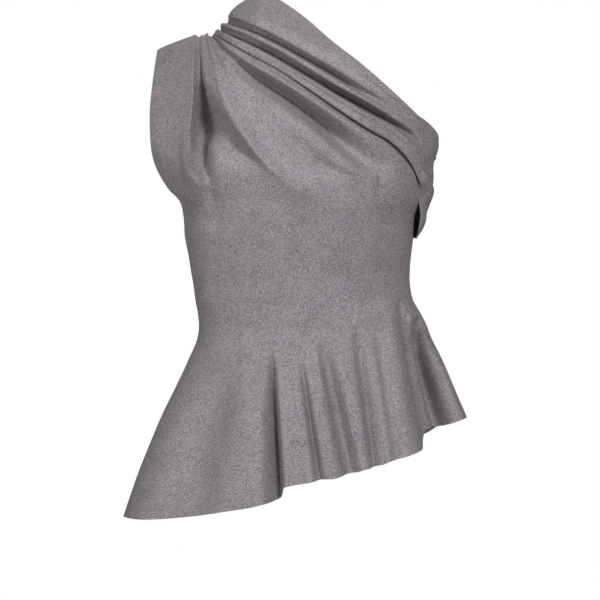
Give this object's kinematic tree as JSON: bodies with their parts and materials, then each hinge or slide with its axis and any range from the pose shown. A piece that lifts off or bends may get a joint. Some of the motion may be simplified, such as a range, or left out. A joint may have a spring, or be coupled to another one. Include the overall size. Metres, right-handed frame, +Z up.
{
  "type": "one-shoulder draped peplum top",
  "caption": "Hollow worn one-shoulder knit top with a pleated sash across the chest, a fitted bodice and a slanting flared peplum.",
  "frame": {"origin": "on the inner face of the shoulder, where the wearer's shoulder carries the top, on the line where front and back meet", "axes": "+Z up, +Y towards the wearer's back, +X to the right of someone who faces the front (the wearer's left)"},
  "size_m": [0.4121, 0.2599, 0.6287],
  "materials": {
    "bodice_knit": "grey melange knit with a fine metallic glint, matt",
    "sash_knit": "the same grey melange knit, pleated",
    "peplum_knit": "the same grey melange knit, fluted"
  },
  "bodies": {
    "root": {"front_bodice": "bodice_knit", "back_bodice": "bodice_knit", "front_sash": "sash_knit", "back_sash": "sash_knit", "front_peplum": "peplum_knit", "back_peplum": "peplum_knit"}
  },
  "joints": []
}
